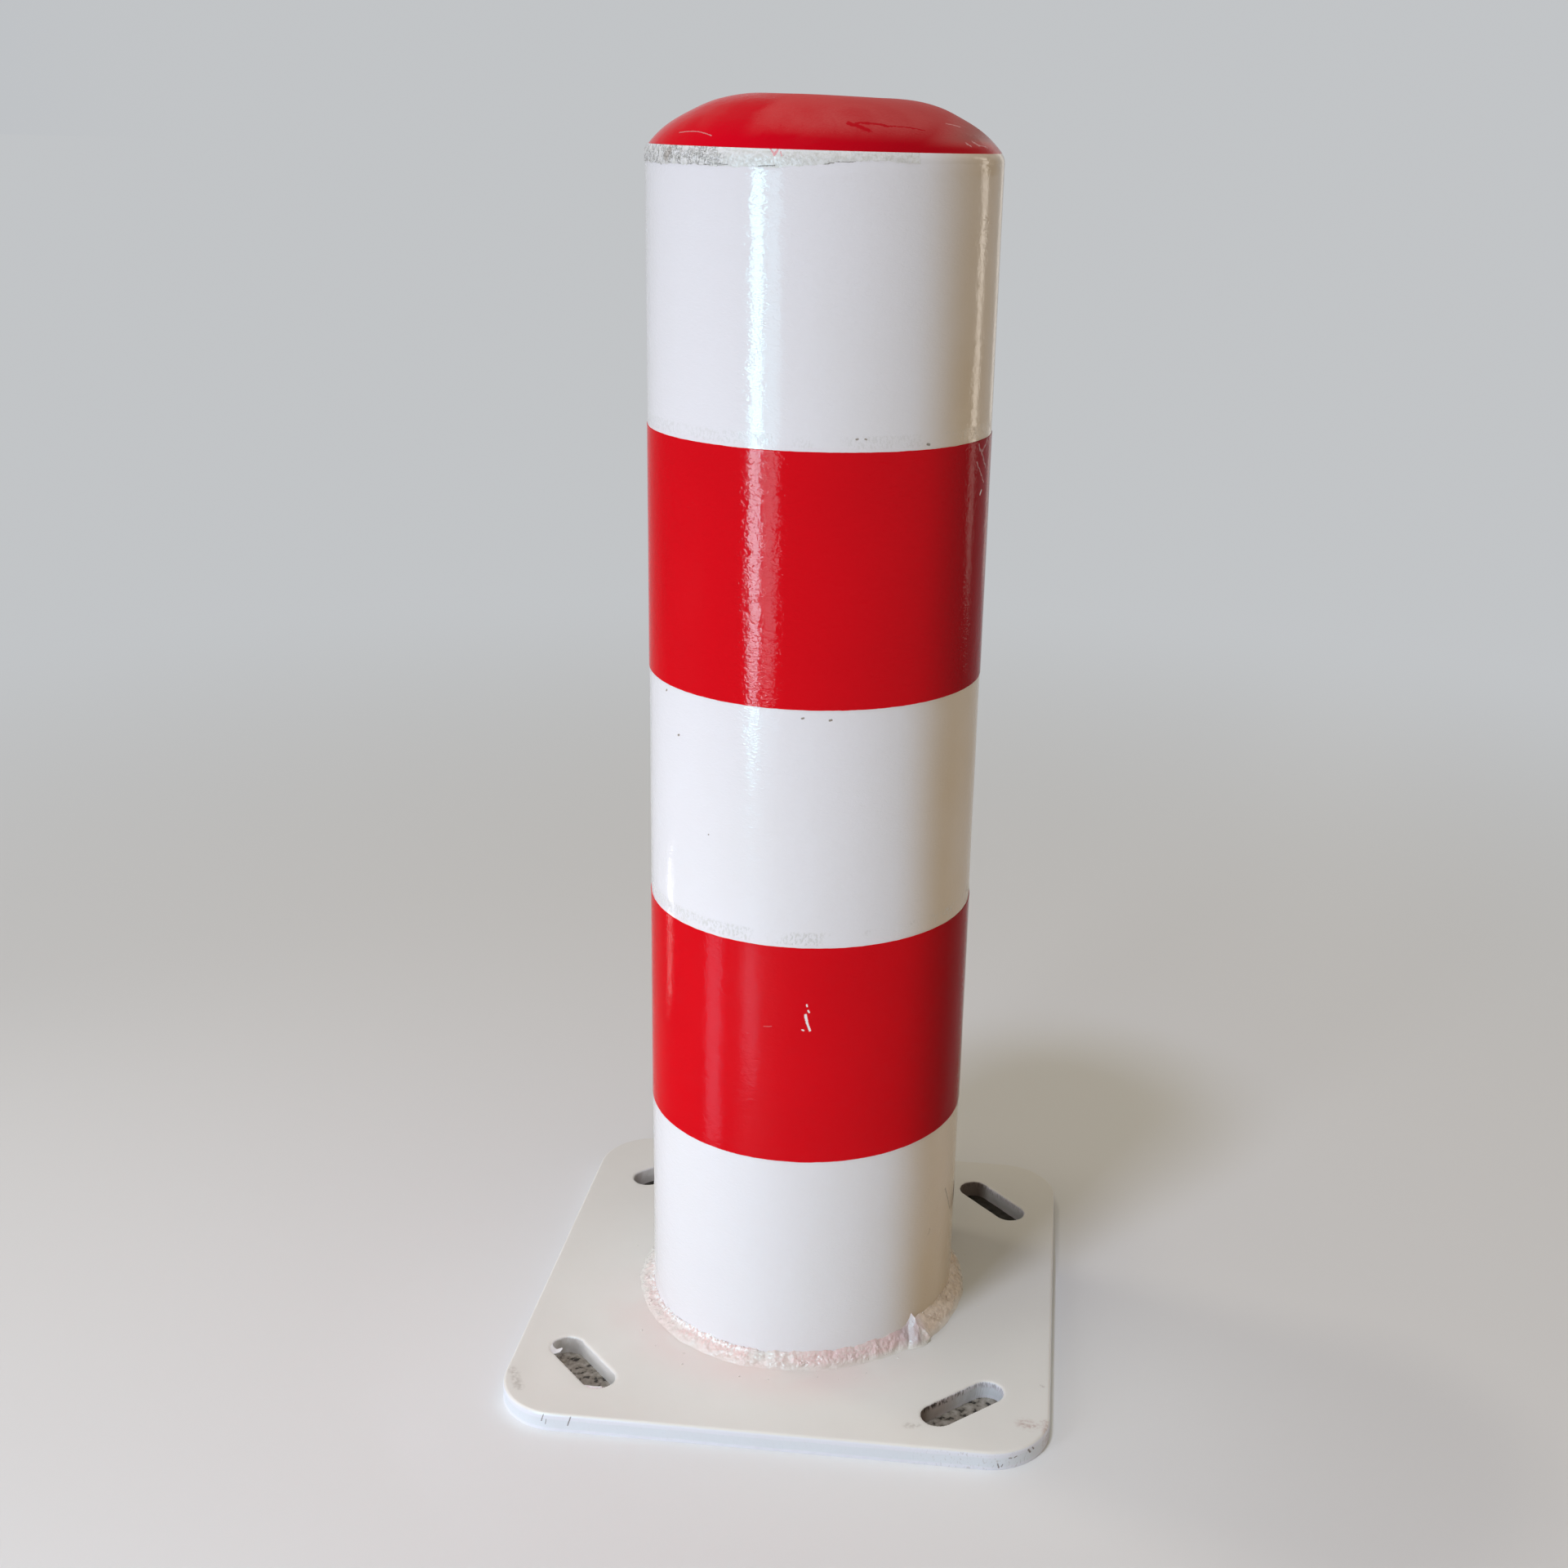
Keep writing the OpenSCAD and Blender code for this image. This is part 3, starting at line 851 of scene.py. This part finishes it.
def build_burrs(sizes, material):
    """Burrs and drops that stand on the bead's toes, each seen in the photograph's light."""
    draw = random.Random(7)
    points, faces = [], []
    groups = (
        (-168, -96, 0.90, 1.02, 62, 0.55), (-168, -140, 0.15, 0.7, 34, 0.5), (-83, -80, 0.35, 0.6, 4, 0.75),
        (-32, 18, 0.55, 1.0, 34, 0.6), (20, 190, 0.2, 1.0, 40, 0.5), (-78, -48, 0.1, 0.9, 22, 0.4))
    for start, end, low, high, count, size in groups:
        for _ in range(count):
            a = math.radians(draw.uniform(start, end))
            centre = on_ring(a, *bead_face(sizes, a, draw.uniform(low, min(1.0, high))))
            add_lump(points, faces, centre, size * draw.uniform(0.5, 1.3) * MM, draw)
    for _ in range(26):
        a = draw.uniform(0, TURN)
        r = sizes.post_radius + sizes.bead_plate_leg + draw.uniform(2, 16) * MM
        centre = on_ring(a, r, sizes.plate_thickness - 0.15 * MM)
        add_lump(points, faces, centre, draw.uniform(0.25, 0.6) * MM, draw)
    return add_piece("bead_burrs", points, faces, material, sharp=70)


def build_bead(sizes, material):
    """The foot bead, with ripples, lumps and the horned crater where it was ended."""
    steps, across = 1300, 26
    points = []
    for i in range(steps):
        a = TURN * i / steps
        inside, under = sizes.post_radius - ROOT, sizes.plate_thickness - BURIED
        section = [(inside, under), (sizes.post_radius + sizes.bead_plate_leg, under)]
        section += [bead_face(sizes, a, k / across) for k in range(across + 1)]
        section.append((inside, section[-1][1]))
        points += [on_ring(a, r, z) for r, z in section]
    faces = ring_faces(steps, len(section), True, True)
    return add_piece("foot_bead_skin", points, faces, material, "base_weld", sharp=75)


def plate_outline(sizes, steps_side=230, steps_corner=46):
    """The rounded square's points, outward directions and place along a side: 0 at its ends, 1 midway."""
    half, corner = sizes.plate_half, sizes.plate_corner
    loop = []
    for quarter in range(4):
        turn = Matrix.Rotation(quarter * math.pi / 2, 2)
        straight = half - corner
        for i in range(steps_side):
            y = -straight + 2 * straight * i / steps_side
            loop.append((turn @ Vector((half, y)), turn @ Vector((1, 0)), 1 - (y / straight) ** 2))
        for i in range(steps_corner):
            a = math.pi / 2 * i / steps_corner
            out = Vector((math.cos(a), math.sin(a)))
            loop.append((turn @ (Vector((straight, straight)) + corner * out), turn @ out, 0.0))
    return loop


def slot_middle(sizes, x_side, y_side):
    """Centre of one slot."""
    return Matrix.Rotation(sizes.pattern_turn, 2) @ Vector((x_side, y_side)) * sizes.slot_pitch / 2


def slot_outline(sizes, x_side, y_side, steps_straight=60, steps_end=72):
    """Points, directions into the metal and place along a side, around one slot."""
    centre = slot_middle(sizes, x_side, y_side)
    turn = Matrix.Rotation(sizes.pattern_turn - x_side * y_side * math.pi / 4, 2)
    reach, radius = (sizes.slot_length - sizes.slot_width) / 2, sizes.slot_width / 2
    loop = []
    for end in (1, -1):
        for i in range(steps_straight):
            spot = Vector((end * (-reach + 2 * reach * i / steps_straight), -end * radius))
            loop.append((centre + turn @ spot, turn @ Vector((0, -end)), 1 - (spot.x / reach) ** 2))
        for i in range(steps_end):
            a = -math.pi / 2 + math.pi * i / steps_end
            out = Vector((math.cos(a), math.sin(a))) * end
            loop.append((centre + turn @ (Vector((end * reach, 0)) + radius * out), turn @ out, 0.0))
    return loop


def edge_profile(thickness, lip, rows):
    """Heights and set-backs up an edge: a straight wall and then its rounding."""
    wall = [(0.0, (thickness - lip) * i / rows) for i in range(rows)]
    turned_in = [
        (lip * (1 - math.cos(math.pi / 2 * i / 6)), thickness - lip + lip * math.sin(math.pi / 2 * i / 6))
        for i in range(7)]
    return wall + turned_in


def encloses(loop, x, y):
    """Whether a closed loop of (x, y) points goes round a point."""
    odd = False
    for (ax, ay), (bx, by) in zip(loop, loop[1:] + loop[:1]):
        if (ay > y) != (by > y) and x < ax + (y - ay) * (bx - ax) / (by - ay):
            odd = not odd
    return odd


def build_plate(sizes, material):
    """The flame-cut plate: dragged edges, lipped slots and a slightly wavy top."""
    thick = sizes.plate_thickness
    points, faces, rims = [], [], []

    def wall(loop, profile, bite, pitch, outward, bow):
        run = 0.0
        first = len(points)
        last_spot = loop[-1][0]
        for spot, out, _ in loop:
            run += (spot - last_spot).length
            last_spot = spot
            for setback, z in profile:
                where = (spot.x, spot.y, z)
                fade = 1 - smooth_step(z, thick - 0.4 * MM, thick)
                drag = 0.5 + 0.5 * math.sin(TURN * (run + 0.25 * z) / pitch + 2.5 * rough(where, 9))
                torn = 0.35 * rough(where, 3, 3.0) + 0.3 * rough(where, 12, 4.0)
                cut = max(0.0, bite * (0.45 * drag + 0.35 + torn)) * fade
                place = spot - out * (setback * outward + cut)
                points.append((place.x, place.y, z))
        across = len(profile)
        rows = ring_faces(len(loop), across, True, False)
        faces.extend(tuple(first + k for k in face) for face in rows)
        rims.append([
            (first + i * across, first + (i + 1) * across - 1, out * along * bow)
            for i, (_, out, along) in enumerate(loop)])

    edge, lip = edge_profile(thick, sizes.plate_edge, 7), edge_profile(thick, sizes.slot_lip, 9)
    wall(plate_outline(sizes), edge, 0.22 * MM, 2.1 * MM, 1, 1.5 * MM)
    slots = [(x, y) for x in (-1, 1) for y in (-1, 1)]
    for x, y in slots:
        wall(slot_outline(sizes, x, y), lip, 0.55 * MM, 1.5 * MM, -1, 0.5 * MM)

    def nearest_slot(x, y, grow):
        """Number of the slot that a point is in, when each is grown a little. None outside them."""
        for k, (x_side, y_side) in enumerate(slots):
            away = Matrix.Rotation(x_side * y_side * math.pi / 4 - sizes.pattern_turn, 2) @ (
                Vector((x, y)) - slot_middle(sizes, x_side, y_side))
            over = max(0.0, abs(away.x) - (sizes.slot_length - sizes.slot_width) / 2)
            if math.hypot(over, away.y) < sizes.slot_width / 2 + grow:
                return k
        return None

    def in_plate(x, y, inset):
        straight = sizes.plate_half - sizes.plate_corner
        over = Vector((max(0.0, abs(x) - straight), max(0.0, abs(y) - straight)))
        return over.length < sizes.plate_corner - inset

    for top in (False, True):
        flat, ids, edges, loops = [], [], [], []
        for rim in rims:
            start = len(flat)
            for pair in rim:
                ids.append(pair[top])
                flat.append(Vector(points[pair[top]][:2]) + pair[2])
            edges += [(start + i, start + (i + 1) % len(rim)) for i in range(len(rim))]
            loops.append([tuple(spot) for spot in flat[start:]])
        if top:
            pitch = 4 * MM
            reach = int(sizes.plate_half / pitch)
            for i in range(-reach, reach + 1):
                for j in range(-reach, reach + 1):
                    x, y = i * pitch + (j % 2) * pitch / 2, j * pitch
                    if in_plate(x, y, 4 * MM) and nearest_slot(x, y, 4 * MM) is None:
                        height = thick - 0.12 * MM + 0.1 * MM * rough((x, y, 0), 45)
                        ids.append(len(points))
                        points.append((x, y, height))
                        flat.append(Vector((x, y)))
        spots, _, tris, origins, _, _ = delaunay_2d_cdt(flat, edges, [], 0, 1e-9)
        for tri in tris:
            x = sum(spots[k].x for k in tri) / 3
            y = sum(spots[k].y for k in tri) / 3
            if not in_plate(x, y, 3 * MM) and not encloses(loops[0], x, y):
                continue
            slot = nearest_slot(x, y, 4 * MM)
            if slot is None or not encloses(loops[1 + slot], x, y):
                faces.append(tuple(ids[origins[k][0]] for k in tri))
    return add_piece("base_plate_skin", points, faces, material, "base_plate", sharp=50)


def add_ribbon(points, faces, path, thickness):
    """Adds a thin tapered ribbon. Each place on the path is (x, y, z, width) in mm."""
    first = len(points)
    spots = [Vector(place[:3]) * MM for place in path]
    for k, (spot, place) in enumerate(zip(spots, path)):
        ahead = spots[min(k + 1, len(spots) - 1)] - spots[max(k - 1, 0)]
        over = ahead.cross(Vector((0.0, 0.0, 1.0))).normalized() * place[3] / 2 * MM
        up = over.cross(ahead).normalized() * thickness / 2
        for corner in (over + up, over - up, -over - up, -over + up):
            points.append(tuple(spot + corner))
    last = first + 4 * len(path) - 4
    faces += [tuple(first + k for k in face) for face in ring_faces(len(path), 4, False, True)]
    faces += [tuple(range(first, first + 4)), tuple(range(last, last + 4))[::-1]]


def build_flakes(material):
    """Two skins of paint that were lifted at one slot: a curl across its end and a sliver on its lip."""
    points, faces = [], []
    curl = (
        (-123.1, -79.6, 9.6, 0.6), (-122.9, -82.0, 9.3, 1.8), (-122.2, -84.8, 9.0, 3.0),
        (-120.8, -86.8, 8.7, 4.0), (-119.1, -87.4, 8.6, 4.0), (-117.6, -87.0, 8.8, 3.2),
        (-116.4, -86.0, 9.2, 1.6), (-115.9, -85.2, 9.5, 0.5))
    sliver = (
        (-97.0, -114.2, 9.2, 0.5), (-95.0, -115.1, 9.5, 1.5), (-92.0, -115.8, 9.6, 1.9),
        (-89.6, -115.6, 9.7, 1.8), (-88.2, -115.0, 9.7, 1.2), (-87.6, -116.2, 9.5, 0.6))
    for path in (curl, sliver):
        fine = []
        for before, after in zip(path, path[1:]):
            fine += [tuple(p + (q - p) * i / 6 for p, q in zip(before, after)) for i in range(6)]
        add_ribbon(points, faces, fine + [path[-1]], 0.35 * MM)
    return add_piece("lifted_paint", points, faces, material, sharp=60)


# Stage

def floor_material(stage):
    """Pale matt floor that fades into the surroundings, with dark ground where the slots show it, darkened
    towards the back as painted shadow.
    """
    paint = Paint("studio floor", stage.floor, 0.5)
    x, y, _ = paint.apart(paint.place)
    stone = paint.node("ShaderNodeValToRGB", {"Fac": paint.mottle(3.6, 6.0)})
    stops = stone.color_ramp.elements
    stops.new(0.43)
    tones = (0.38, (0.020, 0.016, 0.013)), (0.43, (0.19, 0.165, 0.135)), (0.68, (0.36, 0.33, 0.29))
    for stop, (place, tone) in zip(stops, tones):
        stop.position, stop.color = place, (*tone, 1.0)
    # Painted shadow: the ground seen through the far slots is made much darker.
    dim = paint.ramp(y, -0.05, 0.05, 1.0, 0.12, "LINEAR")
    ground = paint.node(
        "ShaderNodeVectorMath", {0: stone.outputs["Color"], "Scale": dim}, operation="SCALE").outputs[0]
    from_middle = paint.highest(paint.math("ABSOLUTE", x), paint.math("ABSOLUTE", y))
    paint.lay(paint.ramp(from_middle, 0.130, 0.128, kind="LINEAR"), ground)
    paint.finish(0.55)
    glow = paint.node("ShaderNodeEmission", {"Color": (*stage.backdrop, 1.0)})
    distance = paint.vector("LENGTH", paint.place, output="Value")
    mixed = paint.node("ShaderNodeMixShader", {
        0: paint.ramp(distance, 0.40, 1.7), 1: paint.shader.outputs[0], 2: glow.outputs[0]})
    paint.put(paint.nodes["Material Output"].inputs["Surface"], mixed.outputs[0])
    return paint.material


def build_floor(stage):
    mesh = bpy.data.meshes.new("studio_floor")
    work = bmesh.new()
    bmesh.ops.create_circle(work, cap_ends=True, radius=40.0, segments=96)
    work.to_mesh(mesh)
    work.free()
    mesh.materials.append(floor_material(stage))
    floor = bpy.data.objects.new("studio_floor", mesh)
    bpy.context.scene.collection.objects.link(floor)


def build_world(stage):
    """Surroundings that go from cool on the left to dim and warm on the right, and bright overhead."""
    world = bpy.data.worlds.new("studio surroundings")
    bpy.context.scene.world = world
    world.use_nodes = True
    nodes = Nodes(world.node_tree)
    x, y, z = nodes.apart(nodes.node("ShaderNodeTexCoord").outputs["Generated"])
    overhead = nodes.mix(nodes.ramp(y, -0.35, 0.25), stage.sky, stage.ceiling)
    around = nodes.mix(nodes.ramp(x, 0.35, 0.75), stage.backdrop, stage.right)
    around = nodes.mix(nodes.ramp(x, -0.75, -0.4), stage.left, around)
    around = nodes.mix(nodes.ramp(z, 0.12, 0.5), around, overhead)
    nodes.put(nodes.nodes["Background"].inputs["Color"], around)


def add_light(name, degrees, distance, height, size, radiance, tint,
              soft=True, mirrored=True, spread=180, aim=None):
    """An area light that looks level at the post, or at the point given. It lights, is mirrored, or both."""
    data = bpy.data.lights.new(name, "AREA")
    data.shape = "RECTANGLE"
    data.size, data.size_y = size
    data.color = tint
    data.spread = math.radians(spread)
    data.energy = radiance * math.pi * size[0] * size[1]
    light = bpy.data.objects.new(name, data)
    a = math.radians(degrees)
    light.location = (distance * math.cos(a), distance * math.sin(a), height)
    facing = Vector(aim or (0.0, 0.0, height)) - light.location
    light.rotation_euler = facing.to_track_quat("-Z", "Y").to_euler()
    light.visible_camera = False
    light.visible_diffuse = soft
    light.visible_glossy = mirrored
    bpy.context.scene.collection.objects.link(light)


def build_lights(stage):
    """Lights that only shade the paint, and lights that are only mirrored in its gloss."""
    cool, plain, warm, daylight = (0.90, 0.925, 1.0), (1.0, 1.0, 1.0), (1.0, 0.91, 0.80), (0.66, 0.73, 1.0)
    lamp, pale = (1.0, 0.93, 0.76), (0.80, 0.95, 1.0)
    foot, corner = (0.0, 0.0, 0.0), (0.126, -0.095, 0.0)
    window = stage.window
    shade, gleam = {"mirrored": False}, {"soft": False}
    add_light("key", -121.0, 0.95, 0.24, (0.13, 0.50), 1.46 * window, cool, **shade)
    add_light("low_left", -176.0, 0.90, 0.13, (0.50, 0.22), 0.85, plain, spread=70, **shade)
    add_light("low_right", -8.0, 1.10, 0.45, (0.60, 0.80), 0.15, (1.0, 0.55, 0.22), **shade)
    add_light("window", -123.3, 0.95, 0.41, (0.12, 0.64), 3.9 * window, (0.42, 0.88, 1.0), **gleam)
    add_light("window_edge", -113.0, 1.00, 0.41, (0.14, 0.64), 0.85 * window, (0.50, 0.88, 1.0), **gleam)
    add_light("doorway", 37.5, 1.70, 0.66, (0.20, 1.26), 0.40 * window, warm, **gleam)
    add_light("doorway_edge", 72.0, 1.70, 0.66, (0.20, 1.26), 0.06 * window, warm, **gleam)
    add_light("floor_gleam", -118.0, 0.25, 0.125, (0.040, 0.09), 0.28 * window, daylight, **gleam)
    add_light("side_gleam", -143.2, 0.25, 0.105, (0.048, 0.15), 0.42 * window, daylight, **gleam)
    add_light("rear_gleam", 174.0, 0.25, 0.150, (0.012, 0.09), 1.2 * window, plain, **gleam)
    add_light("high_front", -121.0, 1.30, 3.40, (0.40, 0.40), 72.0, (0.70, 0.77, 1.0), aim=foot, **shade)
    add_light("high_back", 160.0, 1.40, 3.40, (0.24, 0.24), 56.0, lamp, aim=foot, **shade)
    add_light("overhead", -155.0, 0.35, 3.30, (0.45, 0.45), 17.5, lamp, aim=foot, **shade)
    add_light("corner_fill", -37.0, 0.158, 0.50, (0.12, 0.12), 0.24, pale, spread=38, aim=corner, **shade)


def build_camera(stage):
    data = bpy.data.cameras.new("camera")
    data.lens = stage.camera_lens
    data.shift_x, data.shift_y = stage.camera_shift
    camera = bpy.data.objects.new("camera", data)
    camera.location = stage.camera_place
    turn = Matrix.Rotation(-stage.camera_heading, 3, "Z")
    turn @= Matrix.Rotation(math.pi / 2 - stage.camera_tilt, 3, "X")
    turn @= Matrix.Rotation(stage.camera_roll, 3, "Z")
    camera.rotation_euler = turn.to_euler()
    bpy.context.scene.collection.objects.link(camera)
    bpy.context.scene.camera = camera


# Operators and panel

def settings(context):
    return context.scene.bollard_sizes, context.scene.bollard_paint


class BOLLARD_OT_plate(bpy.types.Operator):
    """Builds the slotted base plate"""

    bl_idname = "bollard.plate"
    bl_label = "Base Plate"

    def execute(self, context):
        sizes, look = settings(context)
        build_plate(sizes, plate_paint(sizes, look))
        build_flakes(flake_paint())
        return {"FINISHED"}


class BOLLARD_OT_tube(bpy.types.Operator):
    """Builds the post tube"""

    bl_idname = "bollard.tube"
    bl_label = "Post Tube"

    def execute(self, context):
        sizes, look = settings(context)
        build_tube(sizes, white_paint(sizes, look))
        return {"FINISHED"}


class BOLLARD_OT_bands(bpy.types.Operator):
    """Lays the two red coats on the tube"""

    bl_idname = "bollard.bands"
    bl_label = "Red Bands"

    def execute(self, context):
        sizes, look = settings(context)
        coat = red_paint(sizes, look)
        bands = (("lower", lower_low.z, lower_high.z), ("upper", upper_low.z, upper_high.z))
        for seed, (which, low, high) in enumerate(bands):
            build_band("red_coat_" + which, "red_band_" + which, sizes, coat, low, high, seed)
        return {"FINISHED"}


class BOLLARD_OT_cap(bpy.types.Operator):
    """Builds the domed cap"""

    bl_idname = "bollard.cap"
    bl_label = "Domed Cap"

    def execute(self, context):
        sizes, look = settings(context)
        build_cap(sizes, cap_paint(sizes, look))
        return {"FINISHED"}


class BOLLARD_OT_seam(bpy.types.Operator):
    """Builds the cap seam and the torn paint on it"""

    bl_idname = "bollard.seam"
    bl_label = "Cap Seam"

    def execute(self, context):
        sizes, look = settings(context)
        build_seam(sizes, white_paint(sizes, look))
        build_strip(sizes, seam_paint(sizes))
        return {"FINISHED"}


class BOLLARD_OT_bead(bpy.types.Operator):
    """Lays the foot bead between tube and plate"""

    bl_idname = "bollard.bead"
    bl_label = "Foot Bead"

    def execute(self, context):
        sizes, look = settings(context)
        coat = bead_paint(sizes, look)
        build_bead(sizes, coat)
        build_burrs(sizes, coat)
        return {"FINISHED"}


class BOLLARD_OT_stage(bpy.types.Operator):
    """Sets the floor, the lights and the camera"""

    bl_idname = "bollard.stage"
    bl_label = "Stage"

    def execute(self, context):
        stage = context.scene.bollard_stage
        build_floor(stage)
        build_world(stage)
        build_lights(stage)
        build_camera(stage)
        context.scene.view_settings.view_transform = "Standard"
        return {"FINISHED"}


class BOLLARD_PT_panel(bpy.types.Panel):
    """Lists the pieces of the bollard and its stage"""

    bl_idname = "BOLLARD_PT_panel"
    bl_label = "Steel Bollard"
    bl_space_type = "VIEW_3D"
    bl_region_type = "UI"
    bl_category = "Bollard"

    def draw(self, context):
        for operator in OPERATORS:
            self.layout.operator(operator.bl_idname)


OPERATORS = (
    BOLLARD_OT_stage, BOLLARD_OT_plate, BOLLARD_OT_tube, BOLLARD_OT_bands, BOLLARD_OT_cap, BOLLARD_OT_seam,
    BOLLARD_OT_bead)
GROUPS = {"bollard_sizes": BollardSizes, "bollard_paint": BollardPaint, "bollard_stage": BollardStage}


def register():
    for group in GROUPS.values():
        bpy.utils.register_class(group)
    for operator in OPERATORS:
        bpy.utils.register_class(operator)
    bpy.utils.register_class(BOLLARD_PT_panel)
    for name, group in GROUPS.items():
        setattr(bpy.types.Scene, name, PointerProperty(type=group))


def unregister():
    for name in GROUPS:
        delattr(bpy.types.Scene, name)
    bpy.utils.unregister_class(BOLLARD_PT_panel)
    for operator in reversed(OPERATORS):
        bpy.utils.unregister_class(operator)
    for group in reversed(GROUPS.values()):
        bpy.utils.unregister_class(group)


def main():
    register()
    bpy.ops.bollard.stage()
    bpy.ops.bollard.plate()
    bpy.ops.bollard.tube()
    bpy.ops.bollard.bands()
    bpy.ops.bollard.cap()
    bpy.ops.bollard.seam()
    bpy.ops.bollard.bead()


if __name__ == "__main__":
    main()
